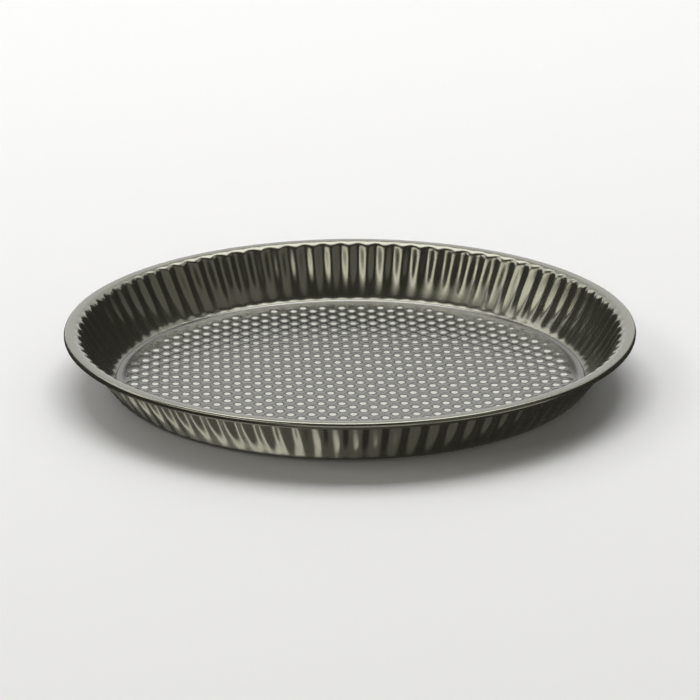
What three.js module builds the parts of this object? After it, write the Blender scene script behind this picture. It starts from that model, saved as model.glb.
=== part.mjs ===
// A fluted tart pan, in millimetres with +Z up. It is made of three pieces: a pressed ring
// with fluted sides and a rolled rim, the wire inside the roll, and a loose dimpled base.
// The origin lies on the pan's axis, level with the surface that the pan stands on.

import * as THREE from "three";

// Driving dimensions, in millimetres, with angles in degrees

const MOUTH_DIAMETER = 280; // inside the top, midway between the flutes' crests and pockets
const OVERALL_HEIGHT = 29;
const WALL_LEAN_DEGREES = 32; // outwards from upright
const FOOT_BEND_RADIUS = 9; // inside of the bend between the lip and the wall
const MOUTH_BEND_RADIUS = 4.5; // inside of the bend between the wall and the flange
const FLANGE_WIDTH = 7; // from the mouth to the outermost edge of the rim
const SEAT_LIP_WIDTH = 8; // ledge at the foot of the wall that carries the base
const RING_SHEET = 0.5;

const FLUTE_COUNT = 88;
const FLUTE_DEPTH_MOUTH = 1.8; // from crest to pocket at the top of the wall
const FLUTE_DEPTH_FOOT = 0.8; // the same at the bottom of the wall

const WIRE_DIAMETER = 1.6;
const WIRE_CLEARANCE = 0.15; // between the wire and the curl round it
const CURL_GAP = 0.9; // between the curl's cut edge and the underside of the flange

const BASE_SHEET = 0.6;
const BASE_SEAT_GAP = 0.2; // between the base and the lip under it
const BASE_EDGE_TURN_DEGREES = 26; // the base's edge turns up by this to lie in the foot bend
const PLAIN_BORDER = 5; // flat margin round the dimples
const DIMPLE_SPACING = 10.5; // along a row, with each second row shifted by half of it
const DIMPLE_HEIGHT = 1;

// Facets

const STEPS_PER_FLUTE = 4;
const CURL_STEPS = 6;
const WIRE_SIDES = 8;

// Places that follow from the driving dimensions. The ring's section is drawn along the
// middle of its sheet, so each radius and height here lies halfway through the metal.

const halfSheet = RING_SHEET / 2;
const climb = THREE.MathUtils.degToRad(90 - WALL_LEAN_DEGREES);
const lipHeight = halfSheet;
const flangeHeight = OVERALL_HEIGHT - halfSheet;
const mouthRadius = MOUTH_DIAMETER / 2;
const footRadius = mouthRadius - (flangeHeight - lipHeight) / Math.tan(climb);

const edgeTurn = THREE.MathUtils.degToRad(BASE_EDGE_TURN_DEGREES);
const footBend = FOOT_BEND_RADIUS + halfSheet;
const lipFlatEnd = footRadius - footBend * Math.tan(climb / 2);
const footBendCentre = lipHeight + footBend;
const mouthBend = MOUTH_BEND_RADIUS + halfSheet;
const flangeStart = mouthRadius + mouthBend * Math.tan(climb / 2);
const mouthBendCentre = flangeHeight - mouthBend;

const curlInside = WIRE_DIAMETER / 2 + WIRE_CLEARANCE;
const curlMiddle = curlInside + halfSheet;
const curlOutside = curlInside + RING_SHEET;
const curlCentreRadius = mouthRadius + FLANGE_WIDTH - curlOutside;
const curlCentreHeight = OVERALL_HEIGHT - curlOutside;
const curlTurn = 2 * Math.PI - Math.acos((curlInside - CURL_GAP) / curlOutside);

const baseSeatHeight = RING_SHEET + BASE_SEAT_GAP;
const dimpleStep = DIMPLE_SPACING / 2;
const dimpleFieldRadius = lipFlatEnd - PLAIN_BORDER;

// A closed mesh is gathered here point by point. A loop is a ring of points round the pan's
// axis, each kept with its angle, and two loops with any number of points can be joined.

class MeshBuilder {
  positions = [];
  triangles = [];

  point(x, y, z) {
    this.positions.push(x, y, z);
    return this.positions.length / 3 - 1;
  }

  triangle(first, second, third) {
    this.triangles.push(first, second, third);
  }

  loopPoint(radius, angle, height) {
    return { angle, id: this.point(radius * Math.cos(angle), radius * Math.sin(angle), height) };
  }

  plainLoop(radius, height) {
    const loop = [];
    for (let flute = 0; flute < FLUTE_COUNT; flute += 1) {
      loop.push(this.loopPoint(radius, flute * flutePitch(), height));
    }
    return loop;
  }

  // One lap round both loops, taking the shorter of the two possible next edges each time.
  // With loops that run anticlockwise, the faces point up when the second loop is wider.
  join(loopA, loopB) {
    const angleOf = (loop, index) => {
      const laps = Math.floor(index / loop.length);
      return loop[index % loop.length].angle + laps * 2 * Math.PI;
    };
    let a = 0;
    let b = 0;
    while (a < loopA.length || b < loopB.length) {
      const reachA = Math.abs(angleOf(loopA, a + 1) - angleOf(loopB, b));
      const reachB = Math.abs(angleOf(loopB, b + 1) - angleOf(loopA, a));
      const here = loopA[a % loopA.length].id;
      const across = loopB[b % loopB.length].id;
      const stepA = b === loopB.length || (a < loopA.length && reachA <= reachB);
      if (stepA) {
        a += 1;
        this.triangle(here, across, loopA[a % loopA.length].id);
      } else {
        b += 1;
        this.triangle(here, across, loopB[b % loopB.length].id);
      }
    }
  }

  geometry() {
    const geometry = new THREE.BufferGeometry();
    geometry.setAttribute("position", new THREE.Float32BufferAttribute(this.positions, 3));
    geometry.setIndex(this.triangles);
    geometry.computeVertexNormals();
    return geometry;
  }
}

function flutePitch() {
  return (2 * Math.PI) / FLUTE_COUNT;
}

// Fluted ring

// A place on the foot bend, where the sheet has turned up from the lip by the heading.
function footBendStation(heading, fluteDepth) {
  const radius = lipFlatEnd + footBend * Math.sin(heading);
  const height = footBendCentre - footBend * Math.cos(heading);
  return { radius, height, heading, fluteDepth };
}

// A place on the mouth bend, where the sheet still climbs by the heading.
function mouthBendStation(heading, fluteDepth) {
  const radius = flangeStart - mouthBend * Math.sin(heading);
  const height = mouthBendCentre + mouthBend * Math.cos(heading);
  return { radius, height, heading, fluteDepth };
}

// The section's stations in order, from the lip's inner edge to the curl's cut edge. The
// heading is the way that the sheet runs there, and flutes are pressed at the wall's stations.
function ringStations() {
  const stations = [
    { radius: footRadius - SEAT_LIP_WIDTH, height: lipHeight, heading: 0, fluteDepth: 0 },
    footBendStation(0, 0),
    footBendStation(edgeTurn, 0),
    footBendStation(climb, FLUTE_DEPTH_FOOT),
    mouthBendStation(climb, FLUTE_DEPTH_MOUTH),
    mouthBendStation(0, 0),
  ];
  for (let step = 0; step <= CURL_STEPS; step += 1) {
    const turned = (curlTurn * step) / CURL_STEPS;
    const radius = curlCentreRadius + curlMiddle * Math.sin(turned);
    const height = curlCentreHeight + curlMiddle * Math.cos(turned);
    stations.push({ radius, height, heading: -turned, fluteDepth: 0 });
  }
  return stations;
}

// Flutes are flat-topped waves: each pocket is centred on its own angle, the crests between.
function flutedLoop(builder, radius, height, depth) {
  const loop = [];
  for (let step = 0; step < FLUTE_COUNT * STEPS_PER_FLUTE; step += 1) {
    const flutes = (step + 0.5) / STEPS_PER_FLUTE - 0.5;
    const inPocket = Math.abs(flutes - Math.round(flutes)) < 0.25;
    const wave = (inPocket ? depth : -depth) / 2;
    loop.push(builder.loopPoint(radius + wave, flutes * flutePitch(), height));
  }
  return loop;
}

function flutedRingGeometry() {
  const builder = new MeshBuilder();
  const loopAt = (station, side) => {
    const radius = station.radius - side * halfSheet * Math.sin(station.heading);
    const height = station.height + side * halfSheet * Math.cos(station.heading);
    const depth = station.fluteDepth;
    return depth > 0 ? flutedLoop(builder, radius, height, depth) : builder.plainLoop(radius, height);
  };
  const stations = ringStations();
  const upperSide = stations.map((station) => loopAt(station, 1));
  const underside = stations.map((station) => loopAt(station, -1));
  const around = [...upperSide, ...underside.reverse()];
  around.forEach((loop, index) => builder.join(loop, around[(index + 1) % around.length]));
  return builder.geometry();
}

// Rim wire

function rimWireGeometry() {
  return new THREE.TorusGeometry(curlCentreRadius, WIRE_DIAMETER / 2, WIRE_SIDES, FLUTE_COUNT);
}

// Base disc

// The dimples lie on a square grid of half their spacing, on the points where column and row
// add up to an even number. The grid's squares fill the field, and each is cut along the
// diagonal between its two low corners, so each dimple is a four-sided point.

const inField = (column, row) => Math.hypot(column, row) * dimpleStep <= dimpleFieldRadius;

const squareInField = (column, row) =>
  [column, column + 1].every((side) => inField(side, row) && inField(side, row + 1));

function squaresAround(column, row) {
  const corners = [[column, row], [column - 1, row], [column, row - 1], [column - 1, row - 1]];
  return corners.filter((corner) => squareInField(...corner)).length;
}

function fullTurnAngle(x, y) {
  const angle = Math.atan2(y, x);
  return angle < 0 ? angle + 2 * Math.PI : angle;
}

// One face of the dimpled field. It returns the field's edge as a loop, for the border to join.
function dimpledFace(builder, level, facesUp) {
  const reach = Math.ceil(dimpleFieldRadius / dimpleStep);
  const points = new Map();
  const fieldEdge = [];
  const keyOf = (column, row) => `${column} ${row}`;
  const face = (...corners) => {
    const [first, second, third] = corners.map((corner) => points.get(keyOf(...corner)));
    builder.triangle(first, ...(facesUp ? [second, third] : [third, second]));
  };

  for (let column = -reach; column <= reach; column += 1) {
    for (let row = -reach; row <= reach; row += 1) {
      const squares = squaresAround(column, row);
      if (squares === 0) continue;
      const raised = squares === 4 && (column + row) % 2 === 0;
      const height = raised ? level + DIMPLE_HEIGHT : level;
      const id = builder.point(column * dimpleStep, row * dimpleStep, height);
      points.set(keyOf(column, row), id);
      if (squares < 4) fieldEdge.push({ angle: fullTurnAngle(column, row), id });
    }
  }

  for (let column = -reach; column < reach; column += 1) {
    for (let row = -reach; row < reach; row += 1) {
      if (!squareInField(column, row)) continue;
      const [near, right] = [[column, row], [column + 1, row]];
      const [far, left] = [[column + 1, row + 1], [column, row + 1]];
      if ((column + row) % 2 === 0) {
        face(near, right, left);
        face(far, left, right);
      } else {
        face(right, far, near);
        face(left, near, far);
      }
    }
  }
  return fieldEdge.sort((a, b) => a.angle - b.angle);
}

// The edge turns up with the foot bend, one seat gap away from it. Heights are above the seat.
function baseDiscGeometry() {
  const builder = new MeshBuilder();
  const undersideBend = FOOT_BEND_RADIUS - BASE_SEAT_GAP;
  const edgeLoop = (level) => {
    const bend = undersideBend - level;
    const radius = lipFlatEnd + bend * Math.sin(edgeTurn);
    return builder.plainLoop(radius, undersideBend - bend * Math.cos(edgeTurn));
  };
  const around = [
    dimpledFace(builder, BASE_SHEET, true),
    builder.plainLoop(lipFlatEnd, BASE_SHEET),
    edgeLoop(BASE_SHEET),
    edgeLoop(0),
    builder.plainLoop(lipFlatEnd, 0),
    dimpledFace(builder, 0, false),
  ];
  around.slice(1).forEach((loop, index) => builder.join(around[index], loop));
  return builder.geometry();
}

// Assembly

function piece(name, geometry, finish) {
  const mesh = new THREE.Mesh(geometry, new THREE.MeshStandardMaterial(finish));
  mesh.name = name;
  return mesh;
}

const darkCoating = { color: 0x57564d, roughness: 0.3, metalness: 0.75 };
const plainSteel = { color: 0x9a9a98, roughness: 0.4, metalness: 1 };

const flutedRing = piece("fluted_ring", flutedRingGeometry(), darkCoating);

const rimWire = piece("rim_wire", rimWireGeometry(), plainSteel);
rimWire.position.z = curlCentreHeight;

const baseDisc = piece("base_disc", baseDiscGeometry(), darkCoating);
baseDisc.position.z = baseSeatHeight;

const tartPan = new THREE.Group();
tartPan.name = "tart_pan";
tartPan.add(flutedRing, rimWire, baseDisc);

export default tartPan;
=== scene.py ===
# %% [markdown]
# A fluted tart pan with a loose base
#
# The pan is three pieces of steel. A ring of thin sheet is pressed into upright flutes, its
# foot is turned in to make a ledge, and its top edge is rolled round a wire. A dimpled disc
# lies loose on the ledge. The sheet is about half a millimetre thick, the flutes are under two
# millimetres deep and the dimples stand about one millimetre high. How the gloss breaks up
# depends on just these small shapes, so the lesson builds each of them as real geometry from a
# formula. A bump map would be quicker, but it would look flat from the side. Lengths are in
# metres unless a comment says otherwise.

# %% Load the frame
import math

import bmesh
import bpy
import numpy as np
from mathutils import Matrix, Vector


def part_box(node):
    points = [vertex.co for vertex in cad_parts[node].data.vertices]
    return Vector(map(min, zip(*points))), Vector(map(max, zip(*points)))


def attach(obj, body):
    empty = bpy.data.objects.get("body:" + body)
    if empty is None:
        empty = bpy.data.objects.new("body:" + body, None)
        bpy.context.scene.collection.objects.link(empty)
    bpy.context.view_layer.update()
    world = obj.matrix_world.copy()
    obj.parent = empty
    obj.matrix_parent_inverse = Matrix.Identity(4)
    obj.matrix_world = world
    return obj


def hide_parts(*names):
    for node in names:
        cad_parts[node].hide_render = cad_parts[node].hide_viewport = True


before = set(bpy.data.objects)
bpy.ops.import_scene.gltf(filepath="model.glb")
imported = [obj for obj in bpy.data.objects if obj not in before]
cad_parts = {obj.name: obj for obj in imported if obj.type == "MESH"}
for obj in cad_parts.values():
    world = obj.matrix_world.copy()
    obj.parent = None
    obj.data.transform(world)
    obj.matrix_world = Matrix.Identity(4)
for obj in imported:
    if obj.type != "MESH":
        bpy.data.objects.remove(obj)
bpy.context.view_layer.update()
print("frame pieces:", sorted(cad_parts))

# %% [markdown]
# The frame holds the pan's plain solids. A few sizes are read off their boxes: how wide and
# high the ring is, where the wire runs and how high the base lies. They could be typed in
# again, but then the looks might drift away from the solids. Sizes that no box tells, such as
# the thickness of the sheet, are named in the step that first needs them.

# %% Sizes from the frame
MM = 0.001

ring_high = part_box("fluted_ring")[1]
wire_low, wire_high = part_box("rim_wire")

RIM_RADIUS = ring_high.x
PAN_HEIGHT = ring_high.z
WIRE_RADIUS = (wire_high.z - wire_low.z) / 2
WIRE_CENTRE_HEIGHT = (wire_high.z + wire_low.z) / 2
WIRE_CENTRE_RADIUS = wire_high.x - WIRE_RADIUS
BASE_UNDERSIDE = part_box("base_disc")[0].z
print(f"rim {2 * RIM_RADIUS / MM:.0f} mm across, pan {PAN_HEIGHT / MM:.0f} mm high")

# %% [markdown]
# The camera looks down at the pan from the front through a long lens, as a catalogue camera
# does, so the far rim is hardly smaller than the near one. It is placed by four numbers, its
# distance from a point inside the pan and three angles. That is easier to correct against a
# picture than a place and a rotation.

# %% Camera
AIM = Vector((0, 0, 15 * MM))
CAMERA_DISTANCE = 1.8995
CAMERA_AZIMUTH = math.radians(-2.10)
CAMERA_ELEVATION = math.radians(19.33)
CAMERA_ROLL = math.radians(-0.296)
LENS_IN_MM = 189.3
SENSOR_IN_MM = 36

towards_camera = Vector((
    math.sin(CAMERA_AZIMUTH) * math.cos(CAMERA_ELEVATION),
    -math.cos(CAMERA_AZIMUTH) * math.cos(CAMERA_ELEVATION),
    math.sin(CAMERA_ELEVATION),
))
camera = bpy.data.objects.new("camera", bpy.data.cameras.new("camera"))
camera.data.sensor_width = SENSOR_IN_MM
camera.data.lens = LENS_IN_MM
camera.rotation_mode = "QUATERNION"
camera.location = AIM + CAMERA_DISTANCE * towards_camera
facing = (-towards_camera).to_track_quat("-Z", "Y").to_matrix()
camera.rotation_quaternion = (facing @ Matrix.Rotation(CAMERA_ROLL, 3, "Z")).to_quaternion()
bpy.context.scene.collection.objects.link(camera)
bpy.context.scene.camera = camera
print("camera at", [round(v, 3) for v in camera.location])

# %% [markdown]
# Dark gloss shows its surroundings more than its own colour, so the studio decides the look.
# The floor is pale and matt and catches the pan's shadow. The outside of the wall leans over
# the floor, and would mirror it as one even grey. The picture shows dark flutes with bright
# streaks at one side instead, so the floor is left out of mirror reflections. It lies a hair
# below the pan's foot, so the two faces don't share a plane.

# %% Floor
FLOOR_SIZE = 14.0
FLOOR_DROP = 0.1 * MM
FLOOR_COLOUR = (0.88, 0.88, 0.88, 1)

floor_mesh = bpy.data.meshes.new("floor")
half = FLOOR_SIZE / 2
floor_corners = [(-half, -half, 0), (half, -half, 0), (half, half, 0), (-half, half, 0)]
floor_mesh.from_pydata(floor_corners, [], [(0, 1, 2, 3)])
floor = bpy.data.objects.new("floor", floor_mesh)
floor.location.z = -FLOOR_DROP
floor.visible_glossy = False
bpy.context.scene.collection.objects.link(floor)
floor_material = bpy.data.materials.new("pale_floor")
floor_material.use_nodes = True
floor_shader = floor_material.node_tree.nodes["Principled BSDF"]
floor_shader.inputs["Base Color"].default_value = FLOOR_COLOUR
floor_shader.inputs["Roughness"].default_value = 0.9
floor_shader.inputs["Specular IOR Level"].default_value = 0.1
floor_mesh.materials.append(floor_material)
print(f"floor {FLOOR_SIZE:.0f} m square")

# %% [markdown]
# The room itself is nearly dark and slightly warm. It sets how black the dark flutes are: a
# gloss that finds no lamp shows the room. A bright room would be simpler to set up, but it
# would wash out every streak.

# %% Room light
ROOM_COLOUR = (0.06, 0.058, 0.048, 1)

world = bpy.data.worlds.new("studio_room")
bpy.context.scene.world = world
world.use_nodes = True
world.node_tree.nodes["Background"].inputs["Color"].default_value = ROOM_COLOUR
print("room light", ROOM_COLOUR[:3])

# %% [markdown]
# Soft boxes make the rest of the light, and each is there for one part of the gloss. A box is
# given by the direction it shines from, in degrees (azimuth 90 is behind the pan and 270 in
# front of it), and by its brightness as a picture shows it. Blender asks for watts, but
# brightness is easier to set against a reflection, so a helper turns one into the other.


# %% Soft box helper
def soft_box(name, azimuth, elevation, distance, width, height, brightness, tint=(1, 1, 1)):
    """An area lamp that faces the pan from the given direction."""
    lamp = bpy.data.lights.new(name, "AREA")
    lamp.shape = "RECTANGLE"
    lamp.size = width
    lamp.size_y = height
    lamp.energy = math.pi * width * height * brightness
    lamp.color = tint
    a, e = math.radians(azimuth), math.radians(elevation)
    outward = Vector((math.cos(a) * math.cos(e), math.sin(a) * math.cos(e), math.sin(e)))
    holder = bpy.data.objects.new(name, lamp)
    holder.location = AIM + distance * outward
    holder.rotation_mode = "QUATERNION"
    holder.rotation_quaternion = (-outward).to_track_quat("-Z", "Y")
    holder.visible_camera = False
    bpy.context.scene.collection.objects.link(holder)
    print(f"{name}: {lamp.energy:.0f} W")


# %% [markdown]
# An overhead bank and a back panel light what lies flat. The panel gives the flange and the
# base their even grey, and the bank sets a small bright spot on each dimple. The banks at left
# and right light the two bends of the wall. One large dome of light would reach all of this,
# but it would leave no spot on a dimple.

# %% Light for the flat parts and the bends
# name, azimuth, elevation, distance, width, height, brightness
soft_box("overhead_bank", 90, 67, 3.0, 2.6, 2.0, 4.1)
soft_box("back_panel", 90, 20, 4.5, 4.6, 3.4, 1.06)
soft_box("left_bank", 145, 40, 3.4, 2.4, 1.0, 2.4)
soft_box("right_bank", 42, 42, 3.4, 2.0, 1.0, 1.1)

# %% [markdown]
# The upright streaks on the inside of the wall are lamps in front of the pan, mirrored in the
# flutes. The key strip, with a wider and weaker halo round it, makes the bright ones, and the
# fill box the faint ones. Painted stripes would stay in place when the pan is turned, and real
# reflections don't. These lamps are slightly warm, as the dark parts of the pan are.

# %% Light for the inside of the wall
WARM = (1, 0.98, 0.9)

# name, azimuth, elevation, distance, width, height, brightness, tint
soft_box("key_strip", 213, 39, 3.4, 2.6, 0.5, 2.6, WARM)
soft_box("key_halo", 213, 42, 3.5, 2.8, 1.4, 0.75, WARM)
soft_box("fill_box", 327, 40, 3.4, 3.0, 1.6, 0.33, WARM)

# %% [markdown]
# The low boxes stand mostly under the floor's level and show in the gloss of the wall's
# outside and of the rolled edge: a card with its halo for the streaks at the left, a weak fill
# below, and two boxes for the roll. In a studio, white cards beside the pan do this. The last
# box does for a view from behind what the back panel does from the front.

# %% Light for the outside of the wall
# name, azimuth, elevation, distance, width, height, brightness, tint
soft_box("low_card", 160, -67, 3.0, 0.75, 1.3, 1.7, WARM)
soft_box("low_halo", 146, -58, 3.1, 1.8, 1.8, 0.3, WARM)
soft_box("low_fill", 225, -75, 3.0, 2.6, 2.6, 0.22, WARM)
soft_box("low_front", 270, -12, 3.4, 3.2, 1.8, 0.75, WARM)
soft_box("low_side", 325, -12, 3.4, 3.2, 1.8, 0.9, WARM)
soft_box("front_panel", 270, 13, 4.5, 4.6, 2.0, 0.75)

# %% [markdown]
# The coating is a dark grey non-stick paint with fine metal in it. Real coatings aren't even:
# the gloss of the sprayed film drifts from place to place, metal flake specks its colour, and
# its surface is slightly pebbled. A photographed texture could hold all this, but it would be
# fixed to one size of pan. Three noises in object space do it instead. The first is broad,
# about two centimetres from one patch to the next, and shifts the roughness.

# %% Drifting gloss
DRIFT_SCALE = 45
NOISE_LOW, NOISE_HIGH = 0.3, 0.7


def coating_noise(tree, scale, detail):
    """A noise that stays fixed to the piece; the scale is in waves per metre."""
    place = tree.nodes.new("ShaderNodeTexCoord")
    noise = tree.nodes.new("ShaderNodeTexNoise")
    noise.inputs["Scale"].default_value = scale
    noise.inputs["Detail"].default_value = detail
    tree.links.new(place.outputs["Object"], noise.inputs["Vector"])
    return noise.outputs["Fac"]


def drifting_gloss(tree, shader, roughness, drift):
    """Lets the roughness wander by the drift to both sides of its middle value."""
    gloss = tree.nodes.new("ShaderNodeMapRange")
    gloss.inputs["From Min"].default_value = NOISE_LOW
    gloss.inputs["From Max"].default_value = NOISE_HIGH
    gloss.inputs["To Min"].default_value = roughness - drift
    gloss.inputs["To Max"].default_value = roughness + drift
    tree.links.new(coating_noise(tree, DRIFT_SCALE, detail=4), gloss.inputs["Value"])
    tree.links.new(gloss.outputs["Result"], shader.inputs["Roughness"])


# %% [markdown]
# The flake is so fine that single specks hardly show. It only keeps the grey from looking like
# plastic, so a tenth lighter and a tenth darker is enough. Separate flakes could be scattered
# as geometry, but there would be millions of them. A colour ramp over a very fine noise gives
# the same grain.

# %% Metal flake
FLAKE_SCALE = 2600
FLAKE_CONTRAST = 0.1
FLAKE_DARK, FLAKE_LIGHT = 0.35, 0.65


def metal_flake(tree, shader, colour):
    """Specks the colour a little lighter and darker."""
    ramp = tree.nodes.new("ShaderNodeValToRGB")
    dark, light = ramp.color_ramp.elements
    dark.position = FLAKE_DARK
    dark.color = [(1 - FLAKE_CONTRAST) * c for c in colour] + [1]
    light.position = FLAKE_LIGHT
    light.color = [(1 + FLAKE_CONTRAST) * c for c in colour] + [1]
    tree.links.new(coating_noise(tree, FLAKE_SCALE, detail=1), ramp.inputs["Fac"])
    tree.links.new(ramp.outputs["Color"], shader.inputs["Base Color"])


# %% [markdown]
# Sprayed film dries with a faint pebble, about a millimetre from bump to bump and only
# thousandths of a millimetre deep. Geometry that fine would need millions of faces, and nobody
# would see it at the pan's edge, so this is the one shape that is left to a bump node.

# %% Fine pebble
PEBBLE_SCALE = 900
PEBBLE_STRENGTH = 0.15
PEBBLE_DEPTH = 0.02 * MM


def fine_pebble(tree, shader):
    """Tilts the film's surface slightly, as dried spray does."""
    bump = tree.nodes.new("ShaderNodeBump")
    bump.inputs["Strength"].default_value = PEBBLE_STRENGTH
    bump.inputs["Distance"].default_value = PEBBLE_DEPTH
    tree.links.new(coating_noise(tree, PEBBLE_SCALE, detail=2), bump.inputs["Height"])
    tree.links.new(bump.outputs["Normal"], shader.inputs["Normal"])


# %% [markdown]
# Put together, the film reflects like a dull metal under a thin clear layer. Its grey is
# slightly warm, which shows most where light bounces twice between flutes. The base has the
# same film as the ring, a little darker and glossier, so one function makes both. Two copies
# of the nodes would be harder to keep alike.


# %% Coating
def coating(name, colour, roughness, gloss_drift):
    """Sprayed non-stick film: metallic grey with drifting gloss, flake and a fine pebble."""
    material = bpy.data.materials.new(name)
    material.use_nodes = True
    tree = material.node_tree
    shader = tree.nodes["Principled BSDF"]
    shader.inputs["Metallic"].default_value = 0.92
    shader.inputs["Coat Weight"].default_value = 0.15
    shader.inputs["Coat Roughness"].default_value = 0.12
    drifting_gloss(tree, shader, roughness, gloss_drift)
    metal_flake(tree, shader, colour)
    fine_pebble(tree, shader)
    print(f"{name}: roughness {roughness} with a drift of {gloss_drift}")
    return material


ring_coating = coating("ring_coating", (0.2, 0.198, 0.163), 0.23, 0.025)
base_coating = coating("base_coating", (0.157, 0.156, 0.14), 0.16, 0.02)

# %% [markdown]
# The ring starts as a drawing of its cross-section along the middle of the sheet: the ledge, a
# bend, the sloping wall, a second bend, the flange and the roll round the wire. The wall isn't
# straight: it bows a little and stands steeper at the mouth than at the foot, which shows in
# how far down each streak of light runs. The roll is slightly wider than its wire needs, as a
# rolled edge is. The section could be a curve drawn by hand, but with named sizes each stretch
# keeps its real radius and can be changed by itself.

# %% Ring sizes
RING_SHEET = 0.5 * MM
FLANGE_WIDTH = 7 * MM
LIP_WIDTH = 8 * MM
FOOT_BEND = 9 * MM
MOUTH_BEND = 4.75 * MM
WALL_LEAN_FOOT = math.radians(37)
WALL_LEAN_MOUTH = math.radians(28)
ROLL_EXTRA = 0.25 * MM
CURL_TURN = math.radians(277)

HALF_SHEET = RING_SHEET / 2
LIP_LEVEL = HALF_SHEET
FLANGE_LEVEL = PAN_HEIGHT - HALF_SHEET
MOUTH_RADIUS = RIM_RADIUS - FLANGE_WIDTH
FOOT_MIDDLE = FOOT_BEND + HALF_SHEET
MOUTH_MIDDLE = MOUTH_BEND + HALF_SHEET
CLIMB_FOOT = math.pi / 2 - WALL_LEAN_FOOT
CLIMB_MOUTH = math.pi / 2 - WALL_LEAN_MOUTH
print(f"mouth {2 * MOUTH_RADIUS / MM:.0f} mm across")

# %% [markdown]
# The centres of the bends follow from the sizes, from the top down. The roll and the flange
# hang from the rim, and the mouth bend follows. The wall is an arc of a large circle, whose
# radius just fills the height between the two bends, and the arc's lower end fixes the foot
# bend. Such points could be tried out by eye, but here each is one line of trigonometry.

# %% Bends of the ring
CURL_MIDDLE = PAN_HEIGHT - WIRE_CENTRE_HEIGHT - HALF_SHEET + ROLL_EXTRA
CURL_CENTRE = (WIRE_CENTRE_RADIUS - ROLL_EXTRA, WIRE_CENTRE_HEIGHT - ROLL_EXTRA)
FLANGE_START = MOUTH_RADIUS + MOUTH_MIDDLE * math.tan(CLIMB_MOUTH / 2)
MOUTH_CENTRE = (FLANGE_START, FLANGE_LEVEL - MOUTH_MIDDLE)

wall_top_radius = MOUTH_CENTRE[0] - MOUTH_MIDDLE * math.sin(CLIMB_MOUTH)
wall_top_height = MOUTH_CENTRE[1] + MOUTH_MIDDLE * math.cos(CLIMB_MOUTH)
foot_rise = FOOT_MIDDLE * (1 - math.cos(CLIMB_FOOT))
wall_rise = wall_top_height - LIP_LEVEL - foot_rise
WALL_BOW = wall_rise / (math.cos(CLIMB_FOOT) - math.cos(CLIMB_MOUTH))
wall_run = WALL_BOW * (math.sin(CLIMB_MOUTH) - math.sin(CLIMB_FOOT))
LIP_FLAT_END = wall_top_radius - wall_run - FOOT_MIDDLE * math.sin(CLIMB_FOOT)
FOOT_CENTRE = (LIP_FLAT_END, LIP_LEVEL + FOOT_MIDDLE)
print(f"wall bowed to {WALL_BOW / MM:.0f} mm, ledge flat to {LIP_FLAT_END / MM:.1f} mm from the axis")

# %% [markdown]
# The section is then a list of stations from the ledge's inner edge to the cut edge inside the
# roll. Each has a radius, a height and a heading, which the next step needs to find the two
# faces of the sheet. A Blender curve could hold the line, but it would have to be sampled again
# to be turned round the axis.

# %% Ring section
BEND_STEPS = 8
WALL_STEPS = 8
CURL_STEPS = 14
FLANGE_STOPS = (0.33, 0.67)


def arc(centre, radius, start, turn, steps):
    """Points and headings along an arc; the start angle points from the centre."""
    for step in range(steps + 1):
        angle = start + turn * step / steps
        along = angle + math.copysign(math.pi / 2, turn)
        yield centre[0] + radius * math.cos(angle), centre[1] + radius * math.sin(angle), along


def bowed_wall(radius, height):
    """The wall's stations between the bends, up from where the foot bend ends."""
    sideways = WALL_BOW * math.sin(CLIMB_FOOT)
    upward = WALL_BOW * math.cos(CLIMB_FOOT)
    centre = (radius - sideways, height + upward)
    stations = arc(centre, WALL_BOW, CLIMB_FOOT - math.pi / 2, CLIMB_MOUTH - CLIMB_FOOT, WALL_STEPS)
    return list(stations)[1:-1]


def ring_middle_line():
    """(radius, height, heading) from the lip's inner edge to the curl's cut edge."""
    lip_start = LIP_FLAT_END + FOOT_MIDDLE * math.tan(CLIMB_FOOT / 2) - LIP_WIDTH
    line = [(lip_start, LIP_LEVEL, 0), ((lip_start + LIP_FLAT_END) / 2, LIP_LEVEL, 0)]
    line += arc(FOOT_CENTRE, FOOT_MIDDLE, -math.pi / 2, CLIMB_FOOT, BEND_STEPS)
    line += bowed_wall(*line[-1][:2])
    line += arc(MOUTH_CENTRE, MOUTH_MIDDLE, math.pi / 2 + CLIMB_MOUTH, -CLIMB_MOUTH, BEND_STEPS)
    for share in FLANGE_STOPS:
        line.append((FLANGE_START + (CURL_CENTRE[0] - FLANGE_START) * share, FLANGE_LEVEL, 0))
    line += arc(CURL_CENTRE, CURL_MIDDLE, math.pi / 2, -CURL_TURN, CURL_STEPS)
    return line


middle_line = ring_middle_line()
print("ring section has", len(middle_line), "stations")

# %% [markdown]
# The sheet gets its thickness by stepping half of it to each side of the line, with a rounded
# nose at both cut edges, so the section becomes one closed outline. A solidify modifier could
# thicken a single skin as well, but it would leave square cut edges.

# %% Sheet thickness
NOSE_STEPS = 3


def section_outline(line, thickness):
    """The closed outline of a sheet along a middle line, with rounded cut edges."""
    side = thickness / 2
    upper = [(r - side * math.sin(h), z + side * math.cos(h)) for r, z, h in line]
    lower = [(r + side * math.sin(h), z - side * math.cos(h)) for r, z, h in line]

    def nose(place, facing_out):
        r, z, h = place
        start = h + math.pi / 2 if facing_out else h - math.pi / 2
        turns = [start - math.pi * step / NOSE_STEPS for step in range(1, NOSE_STEPS)]
        return [(r + side * math.cos(t), z + side * math.sin(t)) for t in turns]

    return upper + nose(line[-1], True) + lower[::-1] + nose(line[0], False)


ring_outline = section_outline(middle_line, RING_SHEET)
print("ring outline has", len(ring_outline), "points")

# %% [markdown]
# A press forms the flutes of the wall between two dies. They have their full depth only on the
# upper wall, grow shallower down to the foot, run on as a row of faint beads in the foot bend
# and end in the mouth bend. So each point of the outline gets its own depth, from its height
# and its radius. Flutes of one depth cut off at both ends would be simpler, but their ends
# would look like steps.

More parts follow.
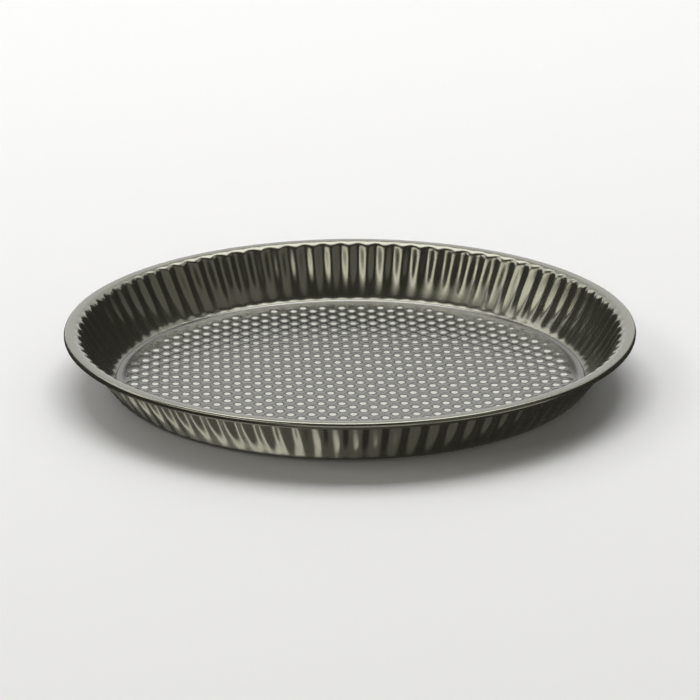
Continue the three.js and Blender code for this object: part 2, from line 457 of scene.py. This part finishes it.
# %% Depth of the flutes
FLUTE_COUNT = 88
FLUTE_DEPTH = 1.7 * MM
FLUTE_START, FLUTE_RISE = 3 * MM, 14 * MM
BEAD_SHARE = 0.22
BEAD_START, BEAD_RISE = 0.8 * MM, 3 * MM
FLUTE_END, FLUTE_FADE = MOUTH_RADIUS + 2.5 * MM, 6 * MM


def ease(t):
    """A soft step from 0 to 1."""
    t = min(max(t, 0), 1)
    return t * t * (3 - 2 * t)


def flute_depth(radius, height):
    """How deep the flutes are pressed at a place on the section."""
    wall = ease((height - FLUTE_START) / FLUTE_RISE)
    bead = BEAD_SHARE * ease((height - BEAD_START) / BEAD_RISE)
    mouth = ease((FLUTE_END - radius) / FLUTE_FADE)
    return FLUTE_DEPTH * max(wall, bead) * mouth


ring_depths = [flute_depth(radius, height) for radius, height in ring_outline]
print(f"flutes {2 * math.pi * MOUTH_RADIUS / FLUTE_COUNT / MM:.1f} mm apart at the mouth")

# %% [markdown]
# Turning the outline round the axis in small steps, and pushing each point in and out by a
# cosine wave, presses all the flutes at once. A screw modifier could turn the outline, but it
# knows nothing of flutes. Arrays of numbers do both in a few lines.

# %% Ring mesh
STEPS_PER_FLUTE = 12


def turned_outline(outline, depths):
    """Points and faces of an outline turned round the axis, with flutes pressed into it."""
    around, along = FLUTE_COUNT * STEPS_PER_FLUTE, len(outline)
    angles = np.arange(around) * 2 * math.pi / around
    wave = np.cos(FLUTE_COUNT * angles) / 2
    rows = []
    for (radius, height), depth in zip(outline, depths):
        r = radius + depth * wave
        rows.append(np.stack([r * np.cos(angles), r * np.sin(angles), np.full_like(r, height)], 1))
    i, j = np.meshgrid(np.arange(along), np.arange(around), indexing="ij")
    this_row, next_row = i * around, (i + 1) % along * around
    next_j = (j + 1) % around
    faces = np.stack([this_row + j, next_row + j, next_row + next_j, this_row + next_j], -1)
    return np.concatenate(rows).tolist(), faces.reshape(-1, 4).tolist()


ring_points, ring_faces = turned_outline(ring_outline, ring_depths)
ring_mesh = bpy.data.meshes.new("pressed_ring")
ring_mesh.from_pydata(ring_points, [], ring_faces)
print("ring faces:", len(ring_mesh.polygons))

# %% [markdown]
# The mesh becomes a piece of the pan: it is shaded smooth, because pressed sheet has no
# facets, it gets the coating, and it takes the place of the frame's ring, with which it moves.
# The base will need the same first lines, so they are a helper.


# %% Ring
def coated_piece(name, mesh, material):
    """A smooth-shaded object of one mesh and one material."""
    mesh.materials.append(material)
    mesh.shade_smooth()
    piece = bpy.data.objects.new(name, mesh)
    bpy.context.scene.collection.objects.link(piece)
    print(f"{name}: {piece.dimensions.x / MM:.1f} mm wide, {piece.dimensions.z / MM:.1f} mm high")
    return piece


ring = coated_piece("pressed_ring", ring_mesh, ring_coating)
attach(ring, "ring")
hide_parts("fluted_ring")

# %% [markdown]
# The base is a disc of sheet embossed with low round dimples in staggered rows. The rows run
# about two degrees off the pan's own axes, as happens when a loose disc is dropped in. Where a
# dimple would run into the plain border it is pressed smaller. A formula gives the height of
# the face at any place, from its distance to the nearest dimples: a round cap with a soft
# skirt. Arrays of one dimple would need their edges joined to the sheet one by one.

# %% Dimples
COLUMN_STEP = 5.27 * MM
ROW_STEP = 5.21 * MM
ROW_SLOPE = 0.033
FIRST_DIMPLE = (-0.55 * MM, 5.2 * MM)
DIMPLE_RADIUS = 3.7 * MM
DIMPLE_HEIGHT = 1.1 * MM
DIMPLE_FILLET = 0.06
SKIRT_END = -0.35
DIMPLE_FIELD = 116 * MM
SMALLEST_DIMPLE = 0.35


def dimple_lift(x, y):
    """Height of the embossed face above the plain sheet at points x, y."""
    u = (x - FIRST_DIMPLE[0]) / COLUMN_STEP
    v = (y - FIRST_DIMPLE[1]) / ROW_STEP + ROW_SLOPE * u
    lift = np.zeros_like(x)
    row = np.round(v)
    for near_row in (row - 1, row, row + 1):
        odd = np.mod(near_row, 2)
        column = 2 * np.round((u - odd) / 2) + odd
        centre_x = column * COLUMN_STEP + FIRST_DIMPLE[0]
        centre_y = (near_row - ROW_SLOPE * column) * ROW_STEP + FIRST_DIMPLE[1]
        away = np.hypot(x - centre_x, y - centre_y)
        room = (DIMPLE_FIELD - np.hypot(centre_x, centre_y)) / DIMPLE_RADIUS
        size = np.clip(room, SMALLEST_DIMPLE, 1)
        cap = 1 - (away / (size * DIMPLE_RADIUS)) ** 2
        dome = size * DIMPLE_HEIGHT * (cap + np.sqrt(cap**2 + DIMPLE_FILLET**2)) / 2
        lift = np.maximum(lift, np.where((room >= SMALLEST_DIMPLE) & (cap > SKIRT_END), dome, 0))
    return lift


print(f"dimples {2 * COLUMN_STEP / MM:.1f} mm apart in rows {ROW_STEP / MM:.1f} mm apart")

# %% [markdown]
# Each face of the base is a square grid of points over the dimpled field, lifted by the
# formula, with about nine steps across a dimple on top and six below. A fill between the
# field's stepped edge and a circle makes the plain border. A grid bent to the circle would
# need no fill, but its squares would grow towards the edge and the dimples there would lose
# their shape.

# %% Dimpled face
EDGE_STEPS = 352
FIELD_MARGIN_STEPS = 1.5
CIRCLE_CLEARANCE = 0.05 * MM


def edge_loop(mesh, radius, height):
    """A circle of points round the axis."""
    turns = [2 * math.pi * k / EDGE_STEPS for k in range(EDGE_STEPS)]
    return [mesh.verts.new((radius * math.cos(t), radius * math.sin(t), height)) for t in turns]


def dimpled_field(mesh, level, grid, facing_up):
    """Squares over the dimpled field; returns the edges round it."""
    reach = min(DIMPLE_FIELD + FIELD_MARGIN_STEPS * grid, LIP_FLAT_END - CIRCLE_CLEARANCE)
    count = math.ceil(reach / grid)
    ticks = np.arange(-count, count + 1) * grid
    x, y = np.meshgrid(ticks, ticks, indexing="ij")
    z = level + dimple_lift(x, y)
    inside = np.hypot(x, y) <= reach
    whole = inside[:-1, :-1] & inside[1:, :-1] & inside[:-1, 1:] & inside[1:, 1:]
    corners = {}

    def corner(i, j):
        if (i, j) not in corners:
            corners[i, j] = mesh.verts.new((x[i, j], y[i, j], z[i, j]))
        return corners[i, j]

    for i, j in np.argwhere(whole).tolist():
        loop = [corner(i, j), corner(i + 1, j), corner(i + 1, j + 1), corner(i, j + 1)]
        mesh.faces.new(loop if facing_up else loop[::-1])
    return {edge for vert in corners.values() for edge in vert.link_edges if edge.is_boundary}


def embossed_skin(mesh, level, grid, facing_up):
    """One face of the base with its plain border; returns the circle that it ends in."""
    field_edge = dimpled_field(mesh, level, grid, facing_up)
    circle = edge_loop(mesh, LIP_FLAT_END, level)
    around = [mesh.edges.new((a, b)) for a, b in zip(circle, circle[1:] + circle[:1])]
    bmesh.ops.triangle_fill(mesh, edges=[*field_edge, *around], use_beauty=True, normal=(0, 0, 1))
    return circle


# %% [markdown]
# The rim of the base turns up slightly to lie in the ring's foot bend, so it follows the same
# centre at a smaller radius. The sheet's outline from the ring's step gives its rounded edge.
# A bevel modifier could round a plain edge, but it wouldn't bend the sheet.

# %% Turned edge of the base
BASE_SHEET = 0.6 * MM
BASE_EDGE_TURN = math.radians(26)
BASE_EDGE_STEPS = 6


def base_edge_outline():
    """(radius, height) over the turned-up edge, from the top face round to the underside."""
    bend = FOOT_BEND + RING_SHEET - BASE_UNDERSIDE - BASE_SHEET / 2
    middle = list(arc(FOOT_CENTRE, bend, -math.pi / 2, BASE_EDGE_TURN, BASE_EDGE_STEPS))
    closed = section_outline(middle, BASE_SHEET)
    # The flat faces bring their own points, so the inner end of the outline is left out.
    return closed[1:-NOSE_STEPS]


edge_outline = base_edge_outline()
print(f"base edge turns up to {max(height for _, height in edge_outline) / MM:.1f} mm")

# %% [markdown]
# The base is sewn together from the top face outwards: the face, then a band of squares from
# each circle of the edge to the next, then the underside. The underside is hidden in use, so
# its grid is coarser. Joining three separate objects would do too, but it could leave doubled
# points along the seams.

# %% Base mesh
FACE_GRID = 0.82 * MM
UNDERSIDE_GRID = 1.25 * MM


def band(mesh, inner, outer):
    """Squares between two circles of points."""
    for k in range(EDGE_STEPS):
        mesh.faces.new((inner[k - 1], outer[k - 1], outer[k], inner[k]))


build = bmesh.new()
last_loop = embossed_skin(build, BASE_UNDERSIDE + BASE_SHEET, FACE_GRID, True)
for radius, height in edge_outline:
    next_loop = edge_loop(build, radius, height)
    band(build, last_loop, next_loop)
    last_loop = next_loop
band(build, last_loop, embossed_skin(build, BASE_UNDERSIDE, UNDERSIDE_GRID, False))
bmesh.ops.recalc_face_normals(build, faces=build.faces)
base_mesh = bpy.data.meshes.new("dimpled_base")
build.to_mesh(base_mesh)
build.free()
print("base faces:", len(base_mesh.polygons))

# %% [markdown]
# The base is coated as the ring is and takes the place of the frame's disc. It rides on a body
# of its own, so it lifts out of the ring when the pan is taken apart. One object for the whole
# pan would look the same at rest, but nothing could move.

# %% Base
base = coated_piece("dimpled_base", base_mesh, base_coating)
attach(base, "base")
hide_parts("base_disc")

# %% [markdown]
# The wire in the roll only shows through the slit under the rim. A curve with a round bevel
# would make it, but the frame's ring of wire is already right, so it stays and gets a finish:
# bare drawn steel, whose roughness varies finely.

# %% Wire finish
WIRE_COLOUR = (0.55, 0.55, 0.54, 1)

wire_steel = bpy.data.materials.new("drawn_steel")
wire_steel.use_nodes = True
wire_tree = wire_steel.node_tree
wire_shader = wire_tree.nodes["Principled BSDF"]
wire_shader.inputs["Base Color"].default_value = WIRE_COLOUR
wire_shader.inputs["Metallic"].default_value = 1
wire_lines = wire_tree.nodes.new("ShaderNodeTexNoise")
wire_lines.inputs["Scale"].default_value = 1500
wire_rough = wire_tree.nodes.new("ShaderNodeMapRange")
wire_rough.inputs["To Min"].default_value = 0.3
wire_rough.inputs["To Max"].default_value = 0.5
wire_tree.links.new(wire_lines.outputs["Fac"], wire_rough.inputs["Value"])
wire_tree.links.new(wire_rough.outputs["Result"], wire_shader.inputs["Roughness"])
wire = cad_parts["rim_wire"]
wire.data.materials.clear()
wire.data.materials.append(wire_steel)
print(f"wire {2 * WIRE_RADIUS / MM:.1f} mm thick")

# %% [markdown]
# Colours are shown as they are written, with no film look on top.

# %% Finish
bpy.context.scene.view_settings.view_transform = "Standard"
